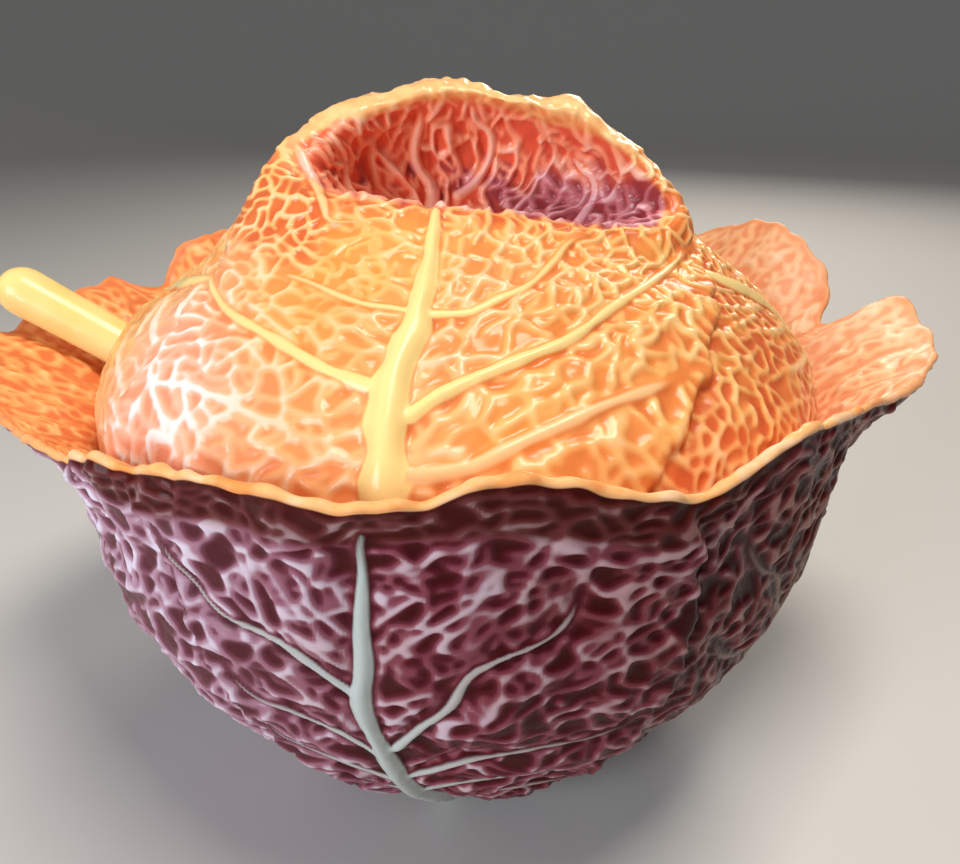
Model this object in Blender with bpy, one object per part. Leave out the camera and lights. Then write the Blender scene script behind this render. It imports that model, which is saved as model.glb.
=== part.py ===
"""Soup tureen in the form of a savoy cabbage: a leaf-rimmed bowl, a domed lid whose front leaf curls up into
a grip, and a ladle whose handle leaves through a notch in the lid's edge.

Lengths in the tables are millimetres. X runs to the right, -Y is the front, and Z is up from the foot.
"""

import math

import bmesh
import bpy
import numpy as np

MM = 0.001
COLUMNS = 76  # segments round the bowl and the lid
AZIMUTH = np.linspace(0.0, 2.0 * math.pi, COLUMNS, endpoint=False)

# Bowl: (radius, height) from the foot ring up the outside to where the leaf rim starts to flare.
FOOT_INNER_RADIUS = 50.0
FOOT_RECESS = 1.5
BOWL_WALL = [(60, 0), (70, 4), (80, 13), (93, 27), (106, 44), (117.5, 64), (126, 86), (130, 105), (131, 120)]
# The inside, from the gallery's inner edge down to the middle of the floor.
BOWL_INSIDE = [
    (119.5, 121), (119.5, 112), (119.5, 101), (116, 82), (107, 61), (95, 42), (81, 26), (64, 15), (40, 9),
]
BOWL_FLOOR = 8.0
GALLERY_RADIUS = 126.5
GALLERY_HEIGHT = 121.0
RIM_THICKNESS = 5.0
RIM_ROUNDING = 0.7  # how far the edge bulges, as a share of half the thickness
FLARE_POWER = 1.7  # the rim leaves the wall upright and leans out towards its edge
FLARE_ROWS = (0.28, 0.55, 0.8, 1.0)  # shares of the way up the flare

# Leaf rim: (azimuth in degrees, radius, height) of the middle of its edge. Flaps are high and wide.
RIM = [
    (8, 169, 156), (11, 156, 146), (14, 151, 142), (19, 163, 152), (24, 165, 165), (32, 164, 170.5),
    (40, 162, 167), (50, 155, 156), (62, 144, 148), (76, 140, 160), (90, 138, 165), (106, 141, 158),
    (120, 146, 149), (132, 158, 160), (141, 161, 163.5), (147, 160, 155), (152, 156, 147), (158, 163, 153),
    (165, 166, 152), (175, 171, 148), (185, 172, 147), (195, 157, 144), (215, 137, 142), (233, 134, 154),
    (250, 135, 160), (262, 137, 158), (277, 136, 165), (293, 136, 155), (310, 135, 161), (330, 137, 152),
    (348, 157, 149), (358, 168, 150),
]

# Lid, outside: rings that follow each other from the lower edge up the dome, over the lip of the curled leaf
# and down into the hollow behind it. Each is
# (x left, x right, y front, y back, z front, z left, z right, z back).
LID_RINGS = [
    (-125, 125, -125, 125, 125, 125, 125, 125),
    (-123.5, 123.5, -123.5, 123.5, 139, 139, 139, 139),
    (-118, 118, -118, 118, 153, 153, 153, 153),
    (-109, 109, -109, 109, 164, 163, 163, 165),
    (-96, 98, -95, 90, 176, 172, 172, 179),
    (-82, 87, -79, 60, 187, 183, 181, 200),
    (-71, 79, -62, 30, 196, 197, 189, 224),
    (-60, 74, -49, 5, 202, 210, 198, 235.5),
    (-51, 71, -42, -6, 203, 212, 198, 234),
    (-44, 67, -37, -8, 202, 211, 197, 230),
    (-38, 58, -31, 4, 196, 204, 193, 220),
    (-27, 44, -24, 10, 190, 195, 189, 207),
    (-11, 22, -13, 6, 187, 189, 187, 194),
]
LID_HOLLOW_BOTTOM = (5, -3, 187)
LID_ROWS_PER_RING = 2  # rows that each gap between two rings is divided into
# Lid, underside: (radius, height) from the seat and round the locating flange, then rings as above, up into
# the back of the hood.
LID_FLANGE = [(123.5, 121.3), (118.4, 121.3), (118.0, 113), (115, 111.5), (112.5, 113), (112.5, 125)]
LID_CEILING = [
    (-116, 116, -116, 116, 138, 138, 138, 138),
    (-110.5, 110.5, -110.5, 110.5, 150, 150, 150, 150),
    (-101, 101, -101, 101, 160, 160, 160, 160),
    (-87, 89, -87, 82, 169, 166, 166, 172),
    (-72, 77, -68, 56, 178, 174, 173, 190),
    (-58, 63, -42, 47, 182, 181, 179, 200),
    (-45, 50, -15, 42, 180, 186, 184, 205),
    (-38, 42, 10, 38, 186, 198, 196, 209),
    (-24, 28, 16, 33, 202, 207, 206, 213),
]
LID_CROWN = (2, 25, 214)

# Notch in the lid's edge, on the ladle's side.
LADLE_AZIMUTH = math.radians(175)
NOTCH_HALF_WIDTH = 13.0
NOTCH_TOP = 153.0
NOTCH_CUT_BOTTOM = 100.0
NOTCH_INNER_RADIUS = 92.0
NOTCH_OUTER_RADIUS = 140.0
NOTCH_ARCH_POINTS = 13

# Ladle, in the upright plane through the bowl's axis: (distance from the axis, height, handle radius).
HANDLE = [
    (41, 31, 5.5), (47, 45, 6), (58, 68, 6.5), (73, 93, 7), (92, 114, 7.5), (112, 130.5, 8), (128, 141, 8.5),
    (146, 151.8, 9), (163, 161.8, 9.5),
]
HANDLE_ROWS = 24
HANDLE_SIDES = 14
HANDLE_END_ROWS = 4
CUP_CENTRE = 8.0
CUP_FLOOR = 9.4
CUP_OUTSIDE = [(9, 0), (19, 2.2), (27, 7.5), (32, 15), (34, 23.5)]
CUP_LIP = (32.7, 25)
CUP_INSIDE = [(31, 24), (28.5, 16), (23.5, 9.5), (16, 5.6), (8, 4.2)]
CUP_THICKNESS = 4.0
CUP_SIDES = 32


def clear_scene():
    for item in list(bpy.data.objects):
        bpy.data.objects.remove(item)


def glazed(name, colour, roughness):
    """A glazed earthenware material."""
    material = bpy.data.materials.new(name)
    material.use_nodes = True
    shader = material.node_tree.nodes["Principled BSDF"]
    shader.inputs["Base Color"].default_value = (*colour, 1.0)
    shader.inputs["Roughness"].default_value = roughness
    shader.inputs["Metallic"].default_value = 0.0
    return material


def smooth_rows(table, times):
    """Values on a smooth curve through the table's rows, at times counted in rows."""
    table = np.asarray(table, float)
    slopes = np.gradient(table, axis=0)
    start = np.clip(np.floor(times).astype(int), 0, len(table) - 2)
    t = (np.asarray(times) - start)[:, None]
    ease = t * t * (3.0 - 2.0 * t)
    return (
        table[start] * (1.0 - ease)
        + table[start + 1] * ease
        + slopes[start] * t * (1.0 - t) ** 2
        - slopes[start + 1] * t * t * (1.0 - t)
    )


def rim_at(azimuth):
    """Radius and height of the rim's edge at each azimuth: a smooth closed curve through RIM."""
    turns = np.array([row[0] for row in RIM], float)
    wrapped = np.concatenate([turns[-3:] - 360.0, turns, turns[:3] + 360.0])
    order = np.arange(len(wrapped))
    table = np.array([row[1:] for row in RIM], float)
    table = np.concatenate([table[-3:], table, table[:3]])
    return smooth_rows(table, np.interp(np.degrees(azimuth) % 360.0, wrapped, order)).T


def circle(radius, height):
    """A level ring of points round the bowl's axis. Radius and height may differ from column to column."""
    z = np.broadcast_to(np.asarray(height, float), AZIMUTH.shape)
    return np.stack([radius * np.cos(AZIMUTH), radius * np.sin(AZIMUTH), z], axis=1)


def lid_ring(left, right, front, back, z_front, z_left, z_right, z_back):
    """A closed ring through four points, one on each side."""
    c, s = np.cos(AZIMUTH), np.sin(AZIMUTH)
    x = (left + right) / 2 + (right - left) / 2 * c
    y = (front + back) / 2 + (back - front) / 2 * s
    level = (z_front + z_left + z_right + z_back) / 4
    saddle = (z_left + z_right - z_front - z_back) / 4
    z = level + (z_right - z_left) / 2 * c + (z_back - z_front) / 2 * s + saddle * np.cos(2 * AZIMUTH)
    return np.stack([x, y, z], axis=1)


def loft(name, first, rings, last, material=None):
    """A closed solid from one pole, through the rings, to the other pole."""
    mesh = bmesh.new()
    loops = [[mesh.verts.new(point * MM) for point in ring] for ring in rings]
    count = len(loops[0])
    start = mesh.verts.new(np.array(first, float) * MM)
    end = mesh.verts.new(np.array(last, float) * MM)
    for k in range(count):
        after = (k + 1) % count
        mesh.faces.new((start, loops[0][after], loops[0][k]))
        mesh.faces.new((end, loops[-1][k], loops[-1][after]))
        for low, high in zip(loops, loops[1:], strict=False):
            mesh.faces.new((low[k], low[after], high[after], high[k]))
    bmesh.ops.recalc_face_normals(mesh, faces=mesh.faces)
    data = bpy.data.meshes.new(name)
    mesh.to_mesh(data)
    mesh.free()
    data.shade_smooth()
    solid = bpy.data.objects.new(name, data)
    if material:
        data.materials.append(material)
    bpy.context.collection.objects.link(solid)
    return solid


def boolean(solid, other, operation):
    """Joins or cuts the solid with a helper that stays out of the model."""
    other.hide_render = True
    other.display_type = "WIRE"
    modifier = solid.modifiers.new(other.name, "BOOLEAN")
    modifier.operation = operation
    modifier.solver = "EXACT"
    modifier.object = other


def make_bowl():
    edge_r, edge_z = rim_at(AZIMUTH)
    wall_r, wall_z = BOWL_WALL[-1]
    out_r, out_z = FLARE_POWER * (edge_r - wall_r), edge_z - wall_z
    length = np.hypot(out_r, out_z)
    out_r, out_z = out_r / length, out_z / length
    half = RIM_THICKNESS / 2
    outer_r, outer_z = edge_r + half * out_z, edge_z - half * out_r
    inner_r, inner_z = edge_r - half * out_z, edge_z + half * out_r

    rings = [circle(FOOT_INNER_RADIUS - FOOT_RECESS, FOOT_RECESS), circle(FOOT_INNER_RADIUS, 0)]
    rings += [circle(r, z) for r, z in BOWL_WALL]
    for s in FLARE_ROWS:
        rings.append(circle(wall_r + (outer_r - wall_r) * s**FLARE_POWER, wall_z + (outer_z - wall_z) * s))
    bulge = RIM_ROUNDING * half
    rings.append(circle(edge_r + bulge * out_r, edge_z + bulge * out_z))
    for s in (*reversed(FLARE_ROWS), 0.0):
        r = GALLERY_RADIUS + (inner_r - GALLERY_RADIUS) * s**FLARE_POWER
        rings.append(circle(r, GALLERY_HEIGHT + (inner_z - GALLERY_HEIGHT) * s))
    rings += [circle(r, z) for r, z in BOWL_INSIDE]
    return loft(
        "bowl", (0, 0, FOOT_RECESS), rings, (0, 0, BOWL_FLOOR), glazed("bowl", (0.17, 0.06, 0.09), 0.25)
    )


def make_notch_cutter():
    """An upright slot with a round top, through the lid's wall."""
    arch = NOTCH_TOP - NOTCH_HALF_WIDTH
    turn = np.linspace(0.0, math.pi, NOTCH_ARCH_POINTS)
    outline = [(NOTCH_HALF_WIDTH, NOTCH_CUT_BOTTOM)]
    outline += [(NOTCH_HALF_WIDTH * math.cos(a), arch + NOTCH_HALF_WIDTH * math.sin(a)) for a in turn]
    outline.append((-NOTCH_HALF_WIDTH, NOTCH_CUT_BOTTOM))
    c, s = math.cos(LADLE_AZIMUTH), math.sin(LADLE_AZIMUTH)
    rings = []
    for radius in (NOTCH_INNER_RADIUS, NOTCH_OUTER_RADIUS):
        rings.append(np.array([(radius * c - w * s, radius * s + w * c, z) for w, z in outline]))
    middle = [ring.mean(axis=0) for ring in rings]
    return loft("notch_cutter", middle[0], rings, middle[1])


def make_lid():
    times = np.linspace(0, len(LID_RINGS) - 1, (len(LID_RINGS) - 1) * LID_ROWS_PER_RING + 1)
    rings = [lid_ring(*row) for row in reversed(LID_CEILING)]
    rings += [circle(r, z) for r, z in reversed(LID_FLANGE)]
    rings += [lid_ring(*row) for row in smooth_rows(LID_RINGS, times)]
    lid = loft("lid", LID_CROWN, rings, LID_HOLLOW_BOTTOM, glazed("lid", (0.85, 0.38, 0.13), 0.22))
    boolean(lid, make_notch_cutter(), "DIFFERENCE")
    return lid


def in_ladle_plane(along, across, height):
    """A point in the ladle's upright plane, or beside it, in the bowl's frame."""
    c, s = math.cos(LADLE_AZIMUTH), math.sin(LADLE_AZIMUTH)
    return (along * c - across * s, along * s + across * c, height)


def handle_rings():
    """Round sections along the handle, closed by a round end."""
    times = np.linspace(0, len(HANDLE) - 1, HANDLE_ROWS)
    rows = smooth_rows(HANDLE, times)
    heading = np.gradient(rows[:, :2], axis=0)
    heading /= np.linalg.norm(heading, axis=1)[:, None]
    sections = [(row[:2], row[2], way) for row, way in zip(rows, heading, strict=True)]
    tip, radius, way = sections[-1]
    for k in range(1, HANDLE_END_ROWS + 1):
        a = k / (HANDLE_END_ROWS + 1) * math.pi / 2
        sections.append((tip + way * radius * math.sin(a), radius * math.cos(a), way))
    turn = np.linspace(0, 2 * math.pi, HANDLE_SIDES, endpoint=False)
    rings = []
    for middle, size, (along, up) in sections:
        ring = [
            in_ladle_plane(
                middle[0] - up * size * math.sin(a), size * math.cos(a), middle[1] + along * size * math.sin(a)
            )
            for a in turn
        ]
        rings.append(np.array(ring))
    return rings, in_ladle_plane(tip[0] + way[0] * radius, 0, tip[1] + way[1] * radius)


def make_ladle():
    turn = np.linspace(0, 2 * math.pi, CUP_SIDES, endpoint=False)
    rings = []
    for radius, height in CUP_OUTSIDE + [CUP_LIP] + CUP_INSIDE:
        points = [
            in_ladle_plane(CUP_CENTRE + radius * math.cos(a), radius * math.sin(a), CUP_FLOOR + height) for a in turn
        ]
        rings.append(np.array(points))
    bottom = in_ladle_plane(CUP_CENTRE, 0, CUP_FLOOR)
    floor = in_ladle_plane(CUP_CENTRE, 0, CUP_FLOOR + CUP_THICKNESS)
    ladle = loft("ladle", bottom, rings, floor, glazed("ladle", (0.92, 0.76, 0.42), 0.2))
    sections, tip = handle_rings()
    foot = sections[0].mean(axis=0)
    boolean(ladle, loft("handle", foot, sections, tip), "UNION")
    return ladle


clear_scene()
make_bowl()
make_lid()
make_ladle()
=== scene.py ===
"""Looks of the savoy-cabbage soup tureen: leaf relief and glazes for the bowl, the lid and the ladle.

Lengths in the tables are millimetres, as in the CAD. X runs to the right, -Y is the front, Z is up.
"""

import math

import bpy
import numpy as np
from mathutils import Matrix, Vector
from mathutils.kdtree import KDTree


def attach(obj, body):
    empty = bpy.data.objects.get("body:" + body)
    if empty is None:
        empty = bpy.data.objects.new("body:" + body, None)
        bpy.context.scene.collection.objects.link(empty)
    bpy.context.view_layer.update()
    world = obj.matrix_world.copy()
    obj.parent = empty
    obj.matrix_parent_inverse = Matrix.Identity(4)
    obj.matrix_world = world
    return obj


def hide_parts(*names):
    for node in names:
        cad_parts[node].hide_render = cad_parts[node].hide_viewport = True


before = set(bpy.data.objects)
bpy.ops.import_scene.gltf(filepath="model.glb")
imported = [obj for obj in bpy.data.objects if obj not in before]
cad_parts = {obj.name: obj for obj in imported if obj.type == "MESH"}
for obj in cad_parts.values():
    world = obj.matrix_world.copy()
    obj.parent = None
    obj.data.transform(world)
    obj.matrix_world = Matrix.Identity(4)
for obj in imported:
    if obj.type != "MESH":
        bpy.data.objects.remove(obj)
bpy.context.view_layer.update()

MM = 0.001
SPACING = 0.92  # of the mesh points, in mm
PATH_SPACING = 3.0  # of the points along a vein, in mm
FULL_TURN = 2.0 * math.pi

# ---------------------------------------------------------------- driving dimensions, as in the CAD

# Rows are (radius, height) unless a comment says otherwise.
BOWL_WALL = [(60, 0), (70, 4), (80, 13), (93, 27), (106, 44), (117.5, 64), (126, 86), (130, 105), (131, 120)]
BOWL_INSIDE = [
    (119.5, 121), (119.5, 112), (119.5, 101), (116, 82), (107, 61), (95, 42), (81, 26), (64, 15), (40, 9),
    (0.5, 8),
]
BOWL_INSIDE_ROWS = 34
BOWL_GRID_RADIUS = 138  # where the grid's columns are SPACING apart
FOOT_RING = [(0.5, 1.5), (48.5, 1.5), (50, 0), (57, 0)]
GALLERY_RADIUS = 126.5
GALLERY_HEIGHT = 121.0
RIM_EDGE_THICKNESS = 2.6  # the CAD's 5 mm wall, worn down to a leaf's edge
FLARE_POWER = 1.7
RIM = [
    # azimuth in degrees, radius, height
    (8, 169, 156), (11, 156, 146), (14, 151, 142), (19, 163, 152), (24, 165, 165), (32, 164, 170.5),
    (40, 162, 167), (50, 155, 156), (62, 144, 148), (76, 140, 160), (90, 138, 165), (106, 141, 158),
    (120, 146, 149), (132, 158, 160), (141, 161, 163.5), (147, 160, 155), (152, 156, 147), (158, 163, 153),
    (165, 166, 152), (175, 171, 148), (185, 172, 147), (195, 157, 144), (215, 137, 142), (233, 134, 154),
    (250, 135, 160), (262, 137, 158), (277, 136, 165), (293, 136, 155), (310, 135, 161), (330, 137, 152),
    (348, 157, 149), (358, 168, 150),
]

# As in the CAD, a little tighter round the hood, where the relief stands out from it.
LID_RINGS = [
    # x left, x right, y front, y back, z front, z left, z right, z back
    (-125, 125, -125, 125, 125, 125, 125, 125),
    (-123.5, 123.5, -123.5, 123.5, 139, 139, 139, 139),
    (-118, 118, -118, 118, 153, 153, 153, 153),
    (-109, 109, -109, 109, 164, 163, 163, 165),
    (-96, 98, -95, 90, 176, 172, 172, 179),
    (-81, 86, -79, 60, 187, 183, 181, 200),
    (-69, 76, -62, 30, 195, 197, 189, 222.5),
    (-57, 71, -49, 5, 201, 210, 198, 233.5),
    (-49, 68.5, -42, -6, 202, 211, 198, 232.5),
    (-43, 65.5, -37, -8, 201, 210, 197, 229),
    (-38, 58, -31, 4, 196, 204, 193, 220),
    (-27, 44, -24, 10, 190, 195, 189, 207),
    (-11, 22, -13, 6, 187, 189, 187, 194),
    (5, 5, -3, -3, 187, 187, 187, 187),
]
LID_FLANGE = [(112.5, 125), (112.5, 113), (115, 111.5), (118, 113), (118.4, 121.3), (123.5, 121.3)]
LID_CEILING = [
    (-116, 116, -116, 116, 138, 138, 138, 138),
    (-110.5, 110.5, -110.5, 110.5, 150, 150, 150, 150),
    (-101, 101, -101, 101, 160, 160, 160, 160),
    (-87, 89, -87, 82, 169, 166, 166, 172),
    (-72, 77, -68, 56, 178, 174, 173, 190),
    (-58, 63, -42, 47, 182, 181, 179, 200),
    (-45, 50, -15, 42, 180, 186, 184, 205),
    (-38, 42, 10, 38, 186, 198, 196, 209),
    (-24, 28, 16, 33, 202, 207, 206, 213),
    (2, 2, 25, 25, 214, 214, 214, 214),
]
CEILING_ROWS = 34
LID_GRID_RADIUS = 125

LADLE_TURN = math.radians(175)
NOTCH_HALF_WIDTH = 13.0
NOTCH_TOP = 153.0
NOTCH_RADIUS = 118.0  # where its width is measured
NOTCH_REACH = 4.0  # rings of the lid that make room for the notch

HANDLE = [
    # distance from the bowl's axis, height, radius of the handle
    (41, 31, 5.5), (47, 45, 6), (58, 68, 6.5), (73, 93, 7), (92, 114, 7.5), (112, 130.5, 8),
    (128, 141, 8.5), (146, 151.8, 9), (163, 161.8, 9.5),
]
CUP_CENTRE = 8.0
CUP_FLOOR = 9.4
CUP = [
    (0.3, 0), (9, 0), (19, 2.2), (27, 7.5), (32, 15), (34, 23.5), (32.7, 25), (31, 24), (28.5, 16), (23.5, 9.5),
    (16, 5.6), (8, 4.2), (0.3, 4),
]


# ---------------------------------------------------------------- curves, noise and steps


def smooth_rows(table, times):
    """Values on a smooth curve through the table's rows, at times counted in rows."""
    table = np.asarray(table, float)
    slopes = np.gradient(table, axis=0)
    times = np.asarray(times, float)
    start = np.clip(np.floor(times).astype(int), 0, len(table) - 2)
    t = (times - start)[..., None]
    ease = t * t * (3.0 - 2.0 * t)
    return (
        table[start] * (1.0 - ease)
        + table[start + 1] * ease
        + slopes[start] * t * (1.0 - t) ** 2
        - slopes[start + 1] * t * t * (1.0 - t)
    )


def smooth_path(points, step):
    """Evenly spaced points on a smooth curve through the given ones."""
    points = np.asarray(points, float)
    fine = smooth_rows(points, np.linspace(0, len(points) - 1, 20 * (len(points) - 1) + 1))
    reach = np.concatenate([[0.0], np.cumsum(np.linalg.norm(np.diff(fine, axis=0), axis=1))])
    even = np.linspace(0, reach[-1], max(int(reach[-1] / step), 3) + 1)
    return np.stack([np.interp(even, reach, fine[:, k]) for k in range(fine.shape[1])], axis=1)


def unit(value):
    """The value, kept between 0 and 1."""
    return np.clip(value, 0.0, 1.0)


def step(value, low, high):
    """0 below low, 1 above high and smooth between."""
    t = unit((value - low) / (high - low))
    return t * t * (3.0 - 2.0 * t)


def fall(value, low, high):
    """1 below low, 0 above high and smooth between."""
    return 1.0 - step(value, low, high)


def bell(value, middle, width):
    """1 at the middle, and about a third at a width from it."""
    return np.exp(-(((value - middle) / width) ** 2))


def ripple(points, length, seed):
    """Smooth noise, mostly between -1 and 1, with lumps about half a length across."""
    waves = 10
    rng = np.random.default_rng(seed)
    total = np.zeros(points.shape[:-1])
    for _ in range(waves):
        way = rng.normal(size=3)
        way *= FULL_TURN / (np.linalg.norm(way) * length * rng.uniform(0.75, 1.5))
        total += np.sin(points @ way + rng.uniform(0, FULL_TURN))
    return total / math.sqrt(waves)


def rim_at(azimuth):
    """Radius and height of the rim's edge at each azimuth: a smooth closed curve through RIM."""
    turns = np.array([row[0] for row in RIM], float)
    wrapped = np.concatenate([turns[-3:] - 360.0, turns, turns[:3] + 360.0])
    table = np.array([row[1:] for row in RIM], float)
    table = np.concatenate([table[-3:], table, table[:3]])
    rows = smooth_rows(table, np.interp(np.degrees(azimuth) % 360.0, wrapped, np.arange(len(wrapped))))
    return np.moveaxis(rows, -1, 0)


def turned(radius, height, azimuth):
    """Points at these radii and heights round the bowl's axis."""
    radius, height, azimuth = np.broadcast_arrays(radius, height, azimuth)
    return np.stack([radius * np.cos(azimuth), radius * np.sin(azimuth), height], axis=-1)


def ring_points(rows, azimuth):
    """Points of rings given as (x left, x right, y front, y back, z front, z left, z right, z back)."""
    left, right, front, back, z_front, z_left, z_right, z_back = np.moveaxis(rows, -1, 0)
    c, s = np.cos(azimuth), np.sin(azimuth)
    x = (left + right) / 2 + (right - left) / 2 * c
    y = (front + back) / 2 + (back - front) / 2 * s
    level = (z_front + z_left + z_right + z_back) / 4
    saddle = (z_left + z_right - z_front - z_back) / 4
    z = level + (z_right - z_left) / 2 * c + (z_back - z_front) / 2 * s + saddle * np.cos(2 * azimuth)
    return np.stack([x, y, z], axis=-1)


def even_times(shape, start, end, spacing):
    """Times at which shape(times, azimuths) gives rows about a spacing apart."""
    times = np.linspace(start, end, 400)
    azimuth = np.linspace(0, FULL_TURN, 48, endpoint=False)
    points = shape(times[:, None], azimuth[None, :])
    gaps = np.linalg.norm(np.diff(points, axis=0), axis=-1)
    reach = np.concatenate([[0.0], np.cumsum(0.5 * gaps.mean(axis=1) + 0.5 * gaps.max(axis=1))])
    even = np.linspace(0, reach[-1], int(reach[-1] / spacing) + 2)
    return np.interp(even, reach, times)


def tree_of(points):
    """A search tree of the points."""
    tree = KDTree(len(points))
    for k, point in enumerate(points.tolist()):
        tree.insert(point, k)
    tree.balance()
    return tree


def grid_quads(rows, columns):
    """The faces of a closed tube of rings, and its first and last ring."""
    index = np.arange(rows * columns).reshape(rows, columns)
    after = np.roll(index, -1, axis=1)
    quads = np.stack([index[:-1], after[:-1], after[1:], index[1:]], axis=-1).reshape(-1, 4)
    return quads.tolist(), index[0].tolist(), index[-1].tolist()


def make_item(name, data):
    item = bpy.data.objects.new(name, data)
    bpy.context.collection.objects.link(item)
    return item


# ---------------------------------------------------------------- skin: a closed grid with relief on it


GRAIN_REACH = 4.0  # how far from a vein the net still follows it, in mm


class Skin:
    """A grid of rows round an axis, from one pole to the other, and what is known of each of its points."""

    def __init__(self, points):
        self.rows, self.columns = points.shape[:2]
        self.base = points
        across = np.roll(points, -1, axis=1) - np.roll(points, 1, axis=1)
        up = np.gradient(points, axis=0)
        normal = np.cross(across, up)
        self.normal = normal / np.maximum(np.linalg.norm(normal, axis=-1, keepdims=True), 1e-9)
        count = self.rows * self.columns
        self.flat = points.reshape(-1, 3)
        self.flat_normal = self.normal.reshape(-1, 3)
        self.tree = tree_of(self.flat)
        self.rib = np.zeros(count)  # height of the veins
        self.rib_tone = np.zeros(count)  # how pale they are
        self.clear = np.full(count, 60.0)  # distance to the side of the nearest vein
        self.fold = np.zeros(count)  # strength of the folds
        self.step = np.zeros(count)  # height of the leaves over their neighbours
        self.painted_shade = np.zeros(count)  # painted shade: pits darkened below the veins and beside the edges of leaves
        self.grain = np.zeros((count, 3))  # direction in which the net is drawn out

    def lay(self, points):
        """A smooth path through the points, brought onto the skin."""
        path = smooth_path(points, PATH_SPACING)
        for k, point in enumerate(path):
            _, index, _ = self.tree.find(point)
            normal = self.flat_normal[index]
            path[k] = point + normal * ((self.flat[index] - point) @ normal)
        return path

    def beside(self, path, margin):
        """Points near the path: index, distance, share of the way along, side, heading there and offset."""
        within = (self.flat > path.min(axis=0) - margin) & (self.flat < path.max(axis=0) + margin)
        near = np.flatnonzero(within.all(axis=1))
        points = self.flat[near]
        best = np.full(len(near), np.inf)
        share = np.zeros(len(near))
        gap = np.zeros((len(near), 3))
        heading = np.zeros((len(near), 3))
        for k in range(len(path) - 1):
            edge = path[k + 1] - path[k]
            t = unit((points - path[k]) @ edge / (edge @ edge))
            away = points - path[k] - t[:, None] * edge
            distance = np.einsum("ij,ij->i", away, away)
            closer = distance < best
            best[closer] = distance[closer]
            share[closer] = (k + t[closer]) / (len(path) - 1)
            gap[closer] = away[closer]
            heading[closer] = edge / np.linalg.norm(edge)
        side = np.sign(np.einsum("ij,ij->i", np.cross(heading, gap), self.flat_normal[near]))
        return near, np.sqrt(best), share, side, heading, gap

    def add_rib(self, points, widths, heights, tone=1.0, leads=True, fade=0.5):
        """A raised vein, tapering from the first width and height to the last.

        A vein that leads draws out the net along it and sinks at its end, and the others are fuller midribs.
        """
        near, distance, share, _, heading, away = self.beside(self.lay(points), 45.0)
        half = np.interp(share, np.linspace(0, 1, len(widths)), widths) / 2
        half = half * (1.0 + 0.15 * ripple(self.flat[near], 12.0, 90))
        high = np.interp(share, np.linspace(0, 1, len(heights)), heights)
        spread, power = (1.3, 1.6) if leads else (1.12, 1.15)
        body = high * unit(1.0 - (distance / (spread * half)) ** 2) ** power
        if leads:
            body = body * step(1.0 - share, 0.0, 0.15)
        stronger = body > self.rib[near]
        self.rib_tone[near[stronger]] = (tone * (1.0 - fade * share))[stronger]
        # Painted shade in the pits along the vein's lower side.
        below = unit(-away[:, 2] / np.maximum(distance, 0.5))
        shade = below * bell(distance - half, 1.2, 1.8) * unit(high / 2.0)
        self.painted_shade[near] = np.maximum(self.painted_shade[near], shade)
        self.rib[near] = np.maximum(self.rib[near], body)
        self.clear[near] = np.minimum(self.clear[near], distance - half)
        if leads:
            lead = np.clip(1.6 - share, 0.5, 1.1)[:, None]
            self.grain[near] += heading / (distance[:, None] ** 2 + GRAIN_REACH**2) * lead

    def add_fold(self, points, width, strength=0.95):
        """A ridge of the net that follows a path and fades at its ends."""
        near, distance, share, _, heading, _ = self.beside(self.lay(points), 16.0)
        body = unit(1.0 - (distance / width) ** 2) * step(share, 0.0, 0.08) * step(1.0 - share, 0.0, 0.2)
        self.fold[near] = np.maximum(self.fold[near], strength * body)
        self.grain[near] += heading * (0.5 / (distance[:, None] ** 2 + GRAIN_REACH**2))

    def add_margin(self, points, rise, side, seed):
        """The edge of a leaf that lies over its neighbour: the leaf is on the given side of the path."""
        rounding, leaf_fade, shadow = 2.2, 22.0, 3.5  # the edge's round, and how far its rise and its step reach
        path = self.lay(points)
        near, distance, share, on, heading, _ = self.beside(path, 40.0)
        length = np.linalg.norm(np.diff(path, axis=0), axis=1).sum()
        wave = np.sin(share * length / 3.1 + seed) + 0.7 * np.sin(share * length / 1.9 + 2.0 * seed)
        into = on * side * distance + 1.2 * (0.5 * wave + 0.8 * ripple(self.flat[near], 14.0, seed))
        edge = unit(into / rounding)
        beyond = np.clip(into - rounding, 0.0, None)
        over = rise * np.sqrt(1.0 - (1.0 - edge) ** 2) * np.exp(-beyond / leaf_fade)
        under = -0.45 * rise * np.exp(np.clip(into, None, 0.0) / shadow)
        self.step[near] += np.where(into > 0.0, over, under)
        # Painted shadow on the lower leaf, just beyond the upper leaf's edge.
        self.painted_shade[near] = np.maximum(self.painted_shade[near], bell(into, -1.0, 1.7))
        across = np.cross(heading, self.flat_normal[near])
        self.grain[near] += across * (0.03 * bell(into, 5.0, 6.0))[:, None]

    def set_grain(self, fallback, weight):
        """Unit directions along the surface in which the net is drawn out."""
        grain = self.grain + fallback * np.broadcast_to(weight, len(fallback))[:, None]
        grain -= self.flat_normal * np.einsum("ij,ij->i", grain, self.flat_normal)[:, None]
        self.grain = grain / np.maximum(np.linalg.norm(grain, axis=1, keepdims=True), 1e-9)

    def mesh(self, name, height, attributes):
        """The object, with the relief's height along the normals and named values for its glaze."""
        points = (self.base + self.normal * height.reshape(self.rows, self.columns, 1)) * MM
        quads, start, end = grid_quads(self.rows, self.columns)
        first, last = self.rows * self.columns, self.rows * self.columns + 1
        caps = [(first, b, a) for a, b in zip(start, start[1:] + start[:1], strict=True)]
        caps += [(last, a, b) for a, b in zip(end, end[1:] + end[:1], strict=True)]
        poles = [points[0].mean(axis=0), points[-1].mean(axis=0)]
        data = bpy.data.meshes.new(name)
        data.from_pydata(np.concatenate([points.reshape(-1, 3), poles]), [], quads + caps)
        for key, values in attributes.items():
            layer = data.attributes.new(key, "FLOAT", "POINT")
            values = np.concatenate([values, [values[0], values[-1]]])
            layer.data.foreach_set("value", values.astype(np.float32))
        data.shade_smooth()
        return make_item(name, data)


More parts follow.
